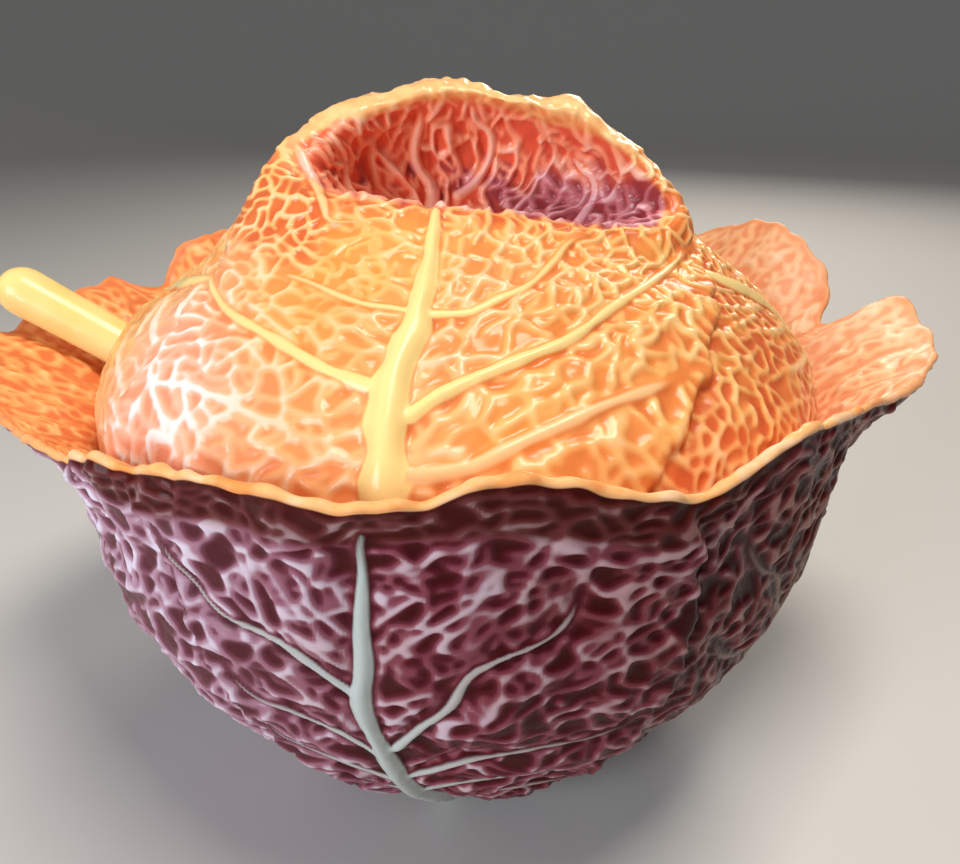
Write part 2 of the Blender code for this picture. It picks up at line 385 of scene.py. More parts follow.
# ---------------------------------------------------------------- net of small veins


def scatter(points, grain, spacing, stretch, seed):
    """Indices of points spread evenly: no two closer than the spacing, or stretch times it along the grain."""
    rng = np.random.default_rng(seed)
    order = rng.permutation(len(points))[: int(len(points) / 2)]
    places, ways = points.tolist(), grain.tolist()
    squeeze = 1.0 - 1.0 / stretch**2
    reach = spacing * stretch
    cells, kept = {}, []
    around = [(a, b, c) for a in (-1, 0, 1) for b in (-1, 0, 1) for c in (-1, 0, 1)]
    for k in order.tolist():
        x, y, z = places[k]
        gx, gy, gz = ways[k]
        i, j, m = int(x // reach), int(y // reach), int(z // reach)
        free = True
        for a, b, c in around:
            for u, v, w in cells.get((i + a, j + b, m + c), ()):
                u, v, w = u - x, v - y, w - z
                lengthwise = u * gx + v * gy + w * gz
                if u * u + v * v + w * w - squeeze * lengthwise * lengthwise < spacing * spacing:
                    free = False
                    break
            if not free:
                break
        if free:
            cells.setdefault((i, j, m), []).append((x, y, z))
            kept.append(k)
    return np.array(kept)


def pair_number(first, second, salt):
    """The same number between 0 and 1 for a pair of cells, whichever comes first."""
    low, high = np.minimum(first, second), np.maximum(first, second)
    return np.modf(np.abs(np.sin(low * 12.9898 + high * 78.233 + salt)) * 43758.5453)[0]


def nearest(skin, points, seeds, count):
    """For each point of the grid, the seeds nearest to its block of grid points."""
    block = max(int(round(2.6 / SPACING)), 1)
    tree = tree_of(seeds)
    grid = points.reshape(skin.rows, skin.columns, 3)[block // 2 :: block, block // 2 :: block]
    found = [[hit[1] for hit in tree.find_n(point, count)] for point in grid.reshape(-1, 3).tolist()]
    found = np.array(found).reshape(grid.shape[0], grid.shape[1], count)
    row = np.minimum(np.arange(skin.rows) // block, grid.shape[0] - 1)
    column = np.minimum(np.arange(skin.columns) // block, grid.shape[1] - 1)
    return found[row][:, column].reshape(-1, count)


def net(skin, points, spacing, stretch, half_width, seed, drop, power, within=None):
    """Ridge height (0 to 1) of a net of cells, and the cell that each point lies in.

    The cells are the spacing apart, and stretch times it along the grain. A share of their walls, drop, is
    left out. A net within the cells of another has walls inside those only.
    """
    chunk, far = 60000, 1e4
    kept = scatter(points, skin.grain, spacing, stretch, seed)
    seeds, ways = points[kept], skin.grain[kept]
    near = nearest(skin, points, seeds, 12)
    ridge = np.zeros(len(points))
    cell = np.zeros(len(points), int)
    squeeze = 1.0 - 1.0 / stretch**2
    for start in range(0, len(points), chunk):
        part = slice(start, start + chunk)
        index = near[part]
        gap = points[part][:, None] - seeds[index]
        way = ways[index]
        pull = gap - squeeze * np.einsum("ijk,ijk->ij", gap, way)[..., None] * way
        size = np.einsum("ijk,ijk->ij", gap, pull)
        if within is not None:
            size = size + far * (within[kept][index] != within[part][:, None])
        own = size.argmin(axis=1)
        line = np.arange(len(own))
        mine = index[line, own]
        slope = 2.0 * np.linalg.norm(pull - pull[line, own][:, None], axis=-1) + 1e-6
        wall = (size - size[line, own][:, None]) / slope
        strength = 0.65 + 0.35 * pair_number(index, mine[:, None], 3.0)
        strength = np.where(pair_number(index, mine[:, None], 7.0) < drop, 0.0, strength)
        if within is not None:
            strength = np.where(size > far / 2, 0.0, strength)
        width = half_width * (0.8 + 0.4 * pair_number(index, mine[:, None], 5.0))
        body = strength * unit(1.0 - (wall / width) ** 2) ** power
        body[line, own] = 0.0
        ridge[part] = (body**4).sum(axis=1) ** 0.25
        cell[part] = mine
    return np.clip(ridge, 0.0, 1.15), cell


def soften(skin, values, passes):
    """Values averaged with their neighbours on the grid."""
    grid = values.reshape(skin.rows, skin.columns)
    for _ in range(passes):
        grid = 0.5 * grid + 0.25 * (np.roll(grid, 1, axis=1) + np.roll(grid, -1, axis=1))
        middle = 0.5 * grid[1:-1] + 0.25 * (grid[2:] + grid[:-2])
        grid = np.concatenate([grid[:1], middle, grid[-1:]])
    return grid.reshape(-1)


def warped(points, amount, length, seed):
    """Points shifted by smooth noise, so that the net's walls run in curves."""
    shift = [ripple(points, length, seed + k) for k in range(3)]
    return points + amount * np.stack(shift, axis=-1)


# ---------------------------------------------------------------- lid

# Veins of the front leaf as points (x, y, z). Widths and heights taper from the first point to the last.
LID_MIDRIB = [
    (-16, -123, 138), (-15, -118, 150), (-14, -100, 171), (-9, -85, 183), (-6, -67, 194), (-5, -45, 204),
]
LID_VEINS = [
    # points, widths, heights, tone
    ([(-12, -116, 155), (4, -115, 157), (20, -109, 162), (39, -99, 166), (50, -93, 167), (59, -86, 168)],
     (4.6, 4.2, 3.4), (1.5, 1.0), 0.15),
    ([(-9, -106, 166), (-2, -102, 170), (10, -97, 174), (23, -91, 177), (32, -85, 179), (42, -75, 183),
      (54, -60, 185), (65, -43, 187), (73, -27, 188)],
     (4.0, 3.6, 3.2, 3.0, 2.6), (2.0, 1.6, 1.1, 0.8), 1.0),
    ([(-6, -83, 184), (5, -83, 185), (13, -78, 187), (21, -72, 189), (28, -60, 192), (32, -53, 195),
      (38, -47, 198)],
     (3.0, 2.6, 2.2), (1.4, 0.8), 1.0),
    ([(-14, -101, 170), (-22, -98, 172), (-33, -92, 174), (-46, -81, 177), (-57, -70, 178), (-65, -59, 179),
      (-72, -43, 182), (-74, -28, 186), (-71, -20, 192), (-65, -12, 200), (-60, -8, 207)],
     (3.8, 3.2, 2.6, 2.6, 2.2), (1.8, 1.5, 1.0, 0.8), 1.0),
    ([(-9, -83, 184), (-13, -81, 185), (-22, -78, 185), (-30, -73, 186), (-39, -66, 188), (-49, -58, 188)],
     (2.4, 2.0), (1.2, 0.8), 0.8),
    ([(-29, -49, 201), (-36, -47, 201), (-38, -40, 205), (-42, -28, 208), (-46, -23, 213), (-49, -17, 218)],
     (1.6, 3.2, 3.0), (0.7, 1.6, 1.6), 0.3),
]
# Pale folds low on the left of the lid: the front leaf's edge and two short ones.
LID_FOLDS = [
    [(-82, -70, 162), (-78, -78, 162), (-69, -84, 164), (-58, -92, 164), (-48, -99, 163), (-41, -103, 162),
     (-32, -109, 159)],
    [(-82, -70, 165), (-81, -75, 163), (-78, -82, 160), (-74, -89, 156), (-70, -95, 153)],
    [(-69, -84, 164), (-67, -90, 160), (-64, -96, 155)],
]
HOOD_VEINS = [
    # points, widths, heights
    ([(-4, -38, 202), (-8, 0, 196), (-9, 7, 201), (-13, 6, 207), (-14, 4, 213), (-12, 0, 222), (-11, -6, 227)],
     (4.0, 4.6, 2.6), (2.4, 1.8)),
    ([(0, 8, 198), (6, 10, 202), (11, 9, 210), (11, 6, 218), (6, 2, 222), (5, -5, 228)],
     (3.6, 2.2), (2.0, 1.2)),
    ([(40, -5, 194), (46, -1, 199), (45, -1, 205), (42, 1, 207), (38, 2, 212)], (3.4, 2.0), (2.0, 1.2)),
    ([(-32, -8, 198), (-35, -10, 203), (-36, -10, 213), (-38, -16, 219), (-40, -16, 222)],
     (3.0, 2.0), (1.8, 1.2)),
]
# Where the dark glaze of the hollow starts, as a ring of the lid, by azimuth in degrees.
RECESS_START = [
    (0, 8.9), (20, 8.7), (45, 8.7), (70, 9.4), (90, 9.3), (110, 9.1), (136, 8.8), (143, 8.1), (160, 7.8),
    (200, 8.6), (230, 8.0), (300, 8.0), (345, 9.0), (360, 8.9),
]
LID_RIGHT_MARGIN = [
    (76, -14, 197), (77, -28, 188), (76, -40, 182), (74, -56, 176), (69, -75, 170), (66, -85, 165), (61, -95, 160),
    (53, -104, 154), (46, -112, 146),
]
LID_LEFT_MARGIN = [
    (-52, -12, 224), (-66, -24, 200), (-73, -44, 182), (-84, -66, 168), (-98, -74, 152), (-100, -76, 140),
]


def lid_shape(times, azimuth):
    return ring_points(smooth_rows(LID_RINGS, times), azimuth)


def on_lid(*places):
    """Points on the lid's outside, from (azimuth in degrees, ring)."""
    return [tuple(lid_shape(np.array(ring), math.radians(turn))) for turn, ring in places]


def notch_arch(azimuth):
    """Height of the notch's top edge at each azimuth, or 0 beside it."""
    across = NOTCH_RADIUS * (azimuth - LADLE_TURN)
    inside = np.abs(across) < NOTCH_HALF_WIDTH
    rise = np.sqrt(np.clip(NOTCH_HALF_WIDTH**2 - across**2, 0.0, None))
    return np.where(inside, NOTCH_TOP - NOTCH_HALF_WIDTH + rise, 0.0)


def opened(rings, times, azimuth, arch):
    """Times for each column, with the rows below the notch's arch moved up to it."""
    grid = np.repeat(times[:, None], len(azimuth), axis=1)
    ladder = np.linspace(0, NOTCH_REACH, 200)
    for k in np.flatnonzero(arch > 0.0):
        heights = ring_points(smooth_rows(rings, ladder), azimuth[k])[:, 2]
        start = np.interp(arch[k], heights, ladder)
        low = times < NOTCH_REACH
        grid[low, k] = start + times[low] * (NOTCH_REACH - start) / NOTCH_REACH
    return grid


def lid_grid():
    """The lid's rows from the crown of its ceiling, round the flange and up its outside into the hollow.

    The second result is the ring of LID_RINGS that each point lies on, or -1 inside the lid.
    """
    columns = int(FULL_TURN * LID_GRID_RADIUS / SPACING)
    azimuth = np.linspace(0, FULL_TURN, columns, endpoint=False)
    arch = notch_arch(azimuth)
    times = even_times(lid_shape, 0.0, len(LID_RINGS) - 1.04, SPACING)
    outside_times = opened(LID_RINGS, times, azimuth, arch)
    outside = ring_points(smooth_rows(LID_RINGS, outside_times), azimuth)
    ceiling_times = opened(LID_CEILING, np.linspace(0, len(LID_CEILING) - 1.05, CEILING_ROWS), azimuth, arch)
    ceiling = ring_points(smooth_rows(LID_CEILING, ceiling_times), azimuth)[::-1]
    flange = np.stack([turned(radius, height, azimuth) for radius, height in LID_FLANGE])
    share = np.linspace(0, 1, len(LID_FLANGE) + 2)[1:-1, None, None]
    across = ceiling[-1] * (1 - share) + outside[0] * share
    flange = np.where((arch > 0.0)[None, :, None], across, flange)
    ring = np.concatenate([np.full((len(ceiling) + len(flange), columns), -1.0), outside_times])
    return np.concatenate([ceiling, flange, outside]), ring.reshape(-1)


def lid_leaves(skin):
    """Veins and edges of the leaves on the lid."""
    skin.add_rib(LID_MIDRIB, (11.5, 12.0, 9.4, 7.2, 5, 2.8), (2.0, 3.8, 3.4, 2.6, 1.6), leads=False, fade=0.1)
    for points, widths, heights, tone in LID_VEINS:
        skin.add_rib(points, widths, heights, tone=tone, fade=0.6)
    for points, widths, heights in HOOD_VEINS:
        skin.add_rib(points, widths, heights, tone=0.2)
    for points in LID_FOLDS:
        skin.add_fold(points, 1.3)
    # Leaves at the sides, with their midribs below the hood's shoulders, and the leaf at the back.
    right = on_lid((339, 5.6), (343, 4.8), (350, 3.9), (354, 3.1), (355, 2.4), (352, 1.5))
    left = on_lid((205, 5.0), (193, 4.5), (184, 4.0), (180, 3.5), (179, 3.0))
    back = on_lid((93, 6.6), (92, 5.8), (90, 5.0), (89, 4.0), (89, 3.0), (89, 1.2))
    skin.add_rib(right, (6, 8.5, 8.5, 7, 5, 3.0), (0.8, 2.0, 2.0, 1.4, 0.6), tone=1.0, leads=False, fade=0.3)
    skin.add_rib(left, (2.0, 6, 7, 6, 3.0), (0.5, 1.6, 1.6, 0.8), tone=1.0, leads=False, fade=0.4)
    skin.add_rib(back, (2.0, 6.5, 8, 10), (0.8, 2.4, 3.0), tone=1.0, leads=False)
    for start, ring, turn, climb in (  # azimuth and ring at the midrib, and how far the vein turns and climbs
        (346, 4.4, -16, 0.5), (351, 3.6, -20, 0.6), (354, 2.8, -24, 0.7), (354, 2.0, -28, 0.6),
        (345, 4.8, 18, 0.9), (351, 3.8, 20, 0.9), (354, 3.0, 22, 1.0), (354, 2.2, 24, 1.1),
        (196, 4.8, 16, -0.9), (186, 4.2, 20, -1.2), (214, 3.4, -18, 0.8), (214, 2.4, -20, 0.8),
        (92, 5.7, 26, 0.7), (91, 4.9, 26, 0.8), (90, 4.0, 26, 0.9), (89, 3.1, 26, 1.0), (89, 2.2, 25, 1.1),
        (92, 5.5, -26, 0.7), (91, 4.6, -26, 0.8), (90, 3.7, -26, 0.9), (89, 2.8, -26, 1.0), (89, 1.9, -25, 1.1),
    ):
        places = [(start + turn * s, ring + climb * s**1.6) for s in (0.0, 0.25, 0.5, 0.75, 1.0)]
        if 60 < start < 120:
            skin.add_rib(on_lid(*places), (3.2, 2.6, 2.2), (1.1, 0.8), tone=0.3, fade=0.9)
        else:
            skin.add_fold(on_lid(*places), 1.5)
    skin.add_margin(LID_RIGHT_MARGIN, 2.6, side=-1, seed=3)
    skin.add_margin(LID_LEFT_MARGIN, 2.6, side=1, seed=5)
    for turn, side in ((40, 1), (138, -1)):
        bends = ((-5, 5.9), (-2, 5.0), (0, 4.0), (2, 2.6), (0, 1.0))
        places = [(turn + bend * side, ring) for bend, ring in bends]
        skin.add_margin(on_lid(*places), 2.2, side=side, seed=turn)


def lip_waves(skin, ring):
    """Folds along the curled lip, as a shift upwards."""
    x, y, z = skin.flat.T
    crest = np.exp(-(((ring - 7.4) / 1.3) ** 2)) * step(z, 212, 228)
    folds = 4.0 * bell(x, 38, 6.5) - 2.0 * bell(x, 16, 5) + 1.5 * bell(x, 0, 8) - 1.5 * bell(x, -22, 6)
    return crest * (folds + 0.8 * ripple(skin.flat, 30, 61))


def make_lid():
    points, ring = lid_grid()
    skin = Skin(points)
    lid_leaves(skin)
    x, y, z = skin.flat.T
    outside = ring >= 0.0
    # Zones: leaves with a closer net, a smooth patch low on the left, the hollow of the hood, its lip and its
    # left shoulder.
    side_leaf = step(x + 0.0067 * np.clip(-y - 50.0, 0.0, None) ** 2, 74, 80) * fall(y, 20, 50)
    wing = step(-x, 34, 42) * step(z, 186, 196) * fall(y, 0, 20)
    crowded = np.maximum(side_leaf, wing)
    calm = bell(x, -90, 22) * bell(y, -42, 26)
    around = np.tile(np.linspace(0.0, 360.0, skin.columns, endpoint=False), skin.rows)
    recess_ring = np.interp(around, *zip(*RECESS_START, strict=True))
    recess = step(ring, recess_ring - 0.15, recess_ring + 0.25)
    curl = bell(ring, 7.9, 1.1) * step(z, 207, 222)
    lip = curl * (1.0 - recess)
    shoulder = step(-x, 46, 58) * step(z, 186, 198)

    downhill = np.cross(np.cross(skin.flat_normal, (0.0, 0.0, 1.0)), skin.flat_normal)
    skin.set_grain(downhill, 0.002)
    bent = warped(skin.flat, 1.2, 12.0, 11)
    coarse, cell = net(skin, bent, 4.8, 1.7, 1.4, 21, drop=0.11, power=1.1)
    fine, _ = net(skin, bent, 3.0, 1.7, 1.05, 22, drop=0.4, power=1.1, within=cell)
    small, _ = net(skin, bent, 3.5, 1.5, 1.0, 23, drop=0.12, power=1.0)
    veins = np.maximum(coarse, 0.75 * fine) * (1.0 - crowded) + small * crowded
    veins = veins * (0.65 + 0.35 * step(ripple(skin.flat, 13.0, 24), -0.8, 0.1)) * (1.0 - 0.75 * calm)
    veins = np.maximum(veins, skin.fold)

    # Where the net shows: not at the foot, on the lip, beside a vein, deep in the hood or where its glaze starts.
    amount = step(ring, 0.25, 1.0) * (1.0 - 0.85 * lip) * step(skin.clear, -0.6, 1.4)
    amount = amount * outside * fall(ring, 11.4, 12.6) * (1.0 - 0.5 * shoulder)
    amount = amount * (1.0 - 0.7 * bell(ring, recess_ring, 0.4) * step(z, 203, 212))
    puff = 0.9 * step(skin.clear, 0.0, 12.0) * step(ring, 0.3, 1.6) * fall(ring, 5.6, 6.6) * (1.0 - recess)
    groove = -0.25 * bell(skin.clear, 1.0, 1.2) * fall(skin.rib, 0.1, 0.8)
    lumps = 0.45 * ripple(skin.flat, 24, 71) + 0.2 * ripple(skin.flat, 6.5, 72)
    lumps = lumps + recess * 0.5 * ripple(skin.flat, 9, 73)
    crumple = 0.45 * ripple(skin.flat, 8.5, 81) + 0.3 * ripple(skin.flat, 4.5, 82)
    relief = amount * (veins * (1.3 + 0.9 * recess) + lumps) + puff + step(ring, 0.25, 1.0) * (groove + skin.step)
    relief = relief + skin.rib - 1.3 * step(ring, 0.0, 1.0) + (0.7 + crumple) * lip
    relief = soften(skin, np.where(outside, relief, 0.0), 1)
    rise = np.where(outside, lip_waves(skin, ring), 0.0)[:, None] * (0, 0, 1)
    skin.base = skin.base + rise.reshape(skin.base.shape)

    # Deeper red pits in the closer-netted leaves and on the right half, and painted shadow in the pits just below
    # the hollow's edge at the front.
    deep_red_and_shadow = 1.3 * wing + 0.7 * side_leaf + bell(ring, recess_ring - 0.5, 0.6) * step(-y, -5, 20)
    deep_red_and_shadow = (deep_red_and_shadow + 0.6 * step(x, 0, 70)) * (0.7 + 0.4 * ripple(skin.flat, 12.0, 76))
    right = step(x + 8.0 * ripple(skin.flat, 16.0, 77), 0, 16)
    low = fall(z + 3.0 * ripple(skin.flat, 12.0, 78), 200, 209)
    # Purple patches in the pits low in the hollow.
    violet_patches = step(ripple(skin.flat, 9.0, 83), 0.0, 0.9) * fall(z, 204, 216) * (1.0 - unit(1.4 * veins))
    # Painted cool light from the left: strongest low on the lid's left front, fading upwards.
    painted_cool_light = bell(x, -76, 32) * bell(y, -84, 38) * (1.15 - 0.8 * step(z, 166, 184)) + 0.3 * calm
    lid = skin.mesh(
        "lid_shell",
        relief,
        {
            "ridge": soften(skin, unit(veins * step(skin.clear, -0.6, 1.0) + 0.3 * calm) * outside, 1),
            "rib": unit(skin.rib / 1.3) * outside,
            "rib_tone": skin.rib_tone,
            "recess": recess * outside,
            "lip": lip * outside,
            "painted_shade": unit(skin.painted_shade * fall(skin.rib, 0.2, 0.8)) * outside,
            "painted_cool_light": unit(painted_cool_light + 0.2 * ripple(skin.flat, 60, 75)) * outside,
            "tone": pair_number(cell, cell, 1.0),
            "deep_red_and_shadow": unit(deep_red_and_shadow) * outside,
            "violet": np.maximum(right * low, 0.9 * violet_patches),
            "outside": outside.astype(float),
        },
    )
    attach(lid, "lid")
    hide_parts("lid")
    return lid


# ---------------------------------------------------------------- bowl

# Veins of the front leaf and of the right one, as (azimuth in degrees, height).
FRONT_MIDRIB = [
    (262.6, 151), (262.2, 147), (262, 139), (261.3, 126), (261, 112), (260, 96), (261, 79), (262, 58),
    (263, 40), (266, 22), (268, 6), (269, 0),
]
FRONT_VEINS = [
    # points, widths, heights
    ([(260, 99), (255, 109), (251, 115), (245, 119), (242, 127), (239, 133), (238, 141)],
     (3.8, 2.0, 1.4), (1.7, 0.9)),
    ([(261, 70), (256.6, 81), (251, 87), (246, 90), (243, 99)], (3.4, 1.6), (1.6, 0.8)),
    ([(262, 50), (254, 62), (248, 70), (245, 78)], (3.4, 1.6), (1.6, 0.8)),
    ([(263, 34), (257, 42), (252, 48)], (3.2, 1.6), (1.5, 0.8)),
    ([(263, 76), (266.6, 88), (270, 97), (272, 108), (275, 113), (280, 118), (282.4, 124), (283.6, 134)],
     (3.8, 3.0, 2.0, 1.5), (1.8, 0.9)),
    ([(263, 55), (266, 60), (273, 70), (281, 74), (287, 75), (294, 79)], (3.6, 1.8), (1.6, 0.8)),
    ([(264, 38), (270, 49), (277, 54), (285, 54), (293, 59)], (3.4, 1.8), (1.5, 0.8)),
    ([(266, 24), (275, 31), (288, 38), (298, 42)], (3.2, 1.8), (1.4, 0.8)),
]
# Pale folds of the front leaf: short ones that leave the midrib like a herringbone.
FRONT_FOLDS = [
    [(251, 115), (250, 127), (249.5, 136), (248, 142)],
    [(282.4, 124), (280.7, 134)],
    [(261, 117), (258.5, 123), (256.6, 129), (256, 136), (254, 142)],
    [(262, 110), (266, 120), (271, 129), (273.2, 134), (274, 139.5), (277.8, 146.5)],
    [(262, 96), (266, 101), (269, 104)],
    [(262, 88), (265, 94), (267.5, 99)],
    [(261, 106), (257, 114), (254, 118)],
    [(261, 124), (259.5, 132), (259, 139)],
    [(262, 122), (265, 130), (268, 136)],
]
# The crease under the front leaf's rim.
CREASE_FOLDS = [
    [(227, 144), (232, 142), (239, 146), (245, 147.6), (250, 148), (254, 149), (257.5, 148), (261, 148)],
    [(263, 149), (268, 151), (273, 152), (277.4, 151), (281.5, 149.5), (286, 147), (291, 144)],
    [(274, 140.5), (276, 142.5), (279.4, 147), (285, 146), (291, 146)],
]
RIGHT_MIDRIB = [
    (296, 2), (304, 16), (312, 34), (318, 52), (322, 70), (323, 88), (325, 106), (329, 120), (336, 134),
    (343, 142),
]
RIGHT_VEINS = [
    ([(323, 86), (319, 94), (316, 104), (313, 113), (309, 119), (304, 134)], (3.4, 1.8), (1.4, 0.8)),
    ([(322, 74), (316, 79), (311, 83), (306, 91), (303, 101)], (3.2, 1.6), (1.4, 0.8)),
    ([(312, 40), (305, 47), (300, 58)], (3.6, 1.8), (1.6, 0.8)),
    ([(324, 104), (332, 112), (341, 124), (350, 134)], (4, 1.8), (1.8, 0.8)),
    ([(322, 80), (332, 88), (344, 100), (354, 112)], (4, 1.8), (1.8, 0.8)),
    ([(317, 56), (328, 64), (341, 76), (352, 88)], (4, 1.8), (1.8, 0.8)),
    ([(308, 32), (320, 38), (334, 48), (346, 58)], (3.6, 1.8), (1.6, 0.8)),
]
# Height of the crease in the front leaf, under its rim, by azimuth in degrees; above the rim elsewhere.
CREASE = [
    (205, 190), (222, 150), (232, 143), (245, 148), (261, 148.5), (273, 152), (282, 149.5), (291, 144),
    (300, 147), (325, 190),
]
# The leaves that the front view doesn't show: middle of each, where its tip reaches on the rim, and how far
# its veins reach to either side, all in degrees of azimuth.
HIDDEN_LEAVES = [(26, 34, 19, 26), (94, 90, 26, 19), (136, 141, 15, 22), (196, 184, 26, 26)]
# Edges of leaves that lie over their neighbours: points, and which side the upper leaf is on.
LEAF_EDGES = [
    ([(235, 150), (238, 126), (239, 115), (240, 104), (241, 91), (243, 77), (246, 56), (250, 34), (256, 8)], 1),
    ([(294, 158), (294, 150), (296, 140), (297, 124), (297, 100), (296, 76), (293, 50), (288, 26), (284, 6)], -1),
    ([(12, 140), (9, 126), (6, 104), (3, 78), (356, 48), (352, 8)], -1),
    ([(62, 146), (63, 126), (62, 100), (60, 74), (57, 44), (55, 8)], 1),
    ([(121, 146), (120, 126), (118, 100), (117, 74), (116, 44), (116, 8)], -1),
    ([(153, 145), (157, 126), (162, 100), (165, 74), (168, 44), (170, 8)], -1),
]


def rim_frame(azimuth):
    """Middle of the rim's edge, and the flare's unit direction there, as radii and heights."""
    edge_r, edge_z = rim_at(azimuth)
    frill = ripple(turned(150.0, 0.0, azimuth), 26.0, 31)
    crimp = ripple(turned(150.0, 0.0, azimuth), 11.0, 32)
    edge_r = edge_r + 0.6 * frill + 0.5 * crimp
    edge_z = edge_z + 1.0 * frill + 0.7 * crimp
    wall_r, wall_z = BOWL_WALL[-1]
    out_r, out_z = FLARE_POWER * (edge_r - wall_r), edge_z - wall_z
    length = np.hypot(out_r, out_z)
    return edge_r, edge_z, out_r / length, out_z / length


def bowl_outside(times, azimuth):
    """The outside: times count the rows of BOWL_WALL, and one more for the flare."""
    wall_r, wall_z = BOWL_WALL[-1]
    edge_r, edge_z, out_r, out_z = rim_frame(azimuth)
    half = RIM_EDGE_THICKNESS / 2
    top = len(BOWL_WALL) - 1
    radius, height = np.moveaxis(smooth_rows(BOWL_WALL, np.minimum(times, top)), -1, 0)
    s = unit(times - top)
    radius = radius + (edge_r + half * out_z - wall_r) * s**FLARE_POWER
    height = height + (edge_z - half * out_r - wall_z) * s
    return turned(radius, height, azimuth)


def bowl_flare_inside(s, azimuth):
    """The flaps' inner side, from the gallery (0) up to the edge (1)."""
    edge_r, edge_z, out_r, out_z = rim_frame(azimuth)
    half = RIM_EDGE_THICKNESS / 2
    radius = GALLERY_RADIUS + (edge_r - half * out_z - GALLERY_RADIUS) * s**FLARE_POWER
    return turned(radius, GALLERY_HEIGHT + (edge_z + half * out_r - GALLERY_HEIGHT) * s, azimuth)


def bowl_grid():
    """The bowl's rows from under its foot, up the outside, over the rim and down the inside.

    The second result is each point's place: -1 under the foot, 0 to 1 up the wall, to 2 at the rim's edge, to 3
    at the gallery, and 4 inside.
    """
    columns = int(FULL_TURN * BOWL_GRID_RADIUS / SPACING)
    azimuth = np.linspace(0, FULL_TURN, columns, endpoint=False)
    foot = np.stack([turned(radius, height, azimuth) for radius, height in FOOT_RING])
    times = even_times(bowl_outside, 0.0, len(BOWL_WALL), SPACING)
    outside = bowl_outside(times[:, None], azimuth[None, :])
    edge_r, edge_z, out_r, out_z = rim_frame(azimuth)
    half = RIM_EDGE_THICKNESS / 2
    turn = np.linspace(0, math.pi, 2 + int(math.pi * half / SPACING))[1:-1, None]
    out, side = 0.85 * half * np.sin(turn), half * np.cos(turn)
    edge = turned(edge_r + out * out_r + side * out_z, edge_z + out * out_z - side * out_r, azimuth)
    inner_times = even_times(bowl_flare_inside, 0.0, 1.0, SPACING)[::-1]
    flare = bowl_flare_inside(inner_times[:, None], azimuth[None, :])
    ledge = np.linspace(GALLERY_RADIUS, BOWL_INSIDE[0][0], 6)[1:-1, None]
    gallery = turned(ledge, GALLERY_HEIGHT, azimuth[None, :])
    rows = smooth_rows(BOWL_INSIDE[1:], np.linspace(0, len(BOWL_INSIDE) - 2, BOWL_INSIDE_ROWS))
    inside = np.concatenate([turned(*BOWL_INSIDE[0], azimuth)[None], turned(rows[:, :1], rows[:, 1:], azimuth)])
    wall = len(BOWL_WALL) - 1
    parts = (foot, outside, edge, flare, gallery, inside)
    place = np.concatenate([
        np.full(len(foot), -1.0),
        np.where(times < wall, times / wall, times - wall + 1.0),
        np.full(len(edge), 2.0),
        3.0 - inner_times,
        np.full(len(gallery), 3.2),
        np.full(len(inside), 4.0),
    ])
    return np.concatenate(parts), np.repeat(place, columns)


def on_bowl(*places):
    """Points on the bowl's outside, from (azimuth in degrees, height)."""
    times = np.linspace(0, len(BOWL_WALL), 300)
    points = []
    for turn, height in places:
        ladder = bowl_outside(times, np.full(times.shape, math.radians(turn)))
        level = min(height, ladder[-1, 2] - 2.0)
        points.append([np.interp(level, ladder[:, 2], ladder[:, k]) for k in range(3)])
    return points


def on_flap(*places):
    """Points on the flaps' inner side, from (azimuth in degrees, share of the way up)."""
    return [tuple(bowl_flare_inside(s, np.array(math.radians(turn)))) for turn, s in places]


def bowl_leaves(skin):
    """Veins and edges of the leaves that make up the bowl."""
    widths, heights = (2.2, 4.4, 5.4, 6, 6.4, 7.4, 8.6, 9.5), (0.7, 2.4, 3.2, 3.8, 4.2)
    skin.add_rib(on_bowl(*FRONT_MIDRIB), widths, heights, leads=False, fade=0.1)
    widths, heights = (7.5, 6.5, 5.5, 4.5, 2.5), (2.6, 2.4, 1.6, 0.8)
    skin.add_rib(on_bowl(*RIGHT_MIDRIB), widths, heights, leads=False, fade=0.8)
    for points, widths, heights in FRONT_VEINS + RIGHT_VEINS:
        skin.add_rib(on_bowl(*points), widths, heights, tone=0.9, fade=0.8)
    for points in FRONT_FOLDS:
        skin.add_fold(on_bowl(*points), 1.5)
    for points in CREASE_FOLDS:
        skin.add_fold(on_bowl(*points), 1.1, strength=0.55)
    for middle, tip, before, after in HIDDEN_LEAVES:
        lean = tip - middle
        midrib = [(middle + lean * s**2, 2 + 140 * s) for s in np.linspace(0, 1, 8)]
        skin.add_rib(on_bowl(*midrib), (9, 8, 6.5, 5, 3), (3.8, 3.4, 2.6, 1.4), leads=False)
        for reach in (-before, after):
            for height in (30, 48, 66, 84, 102):
                base = middle + lean * (height / 140) ** 2
                places = [(base + reach * s, height + 34 * s**1.4) for s in np.linspace(0, 1, 5)]
                skin.add_rib(on_bowl(*places), (3.8, 1.6), (1.7, 0.7), tone=0.75)
    for k, (points, side) in enumerate(LEAF_EDGES):
        skin.add_margin(on_bowl(*points), 2.8, side=side, seed=40 + k)
    # Veins on the inner side of the flaps, fanning out towards the edge.
    for middle, spread in ((358, 24), (33, 22), (90, 22), (138, 18), (182, 24)):
        for share in (-1.0, -0.66, -0.33, 0.0, 0.33, 0.66, 1.0):
            turn = spread * share
            places = [(middle + turn * (0.55 + 0.45 * s), 0.05 + 0.87 * s) for s in (0, 0.35, 0.7, 1)]
            width = 3.6 if share == 0 else 2.2
            skin.add_rib(on_flap(*places), (width, 1.8), (0.9, 0.5), tone=0.3)


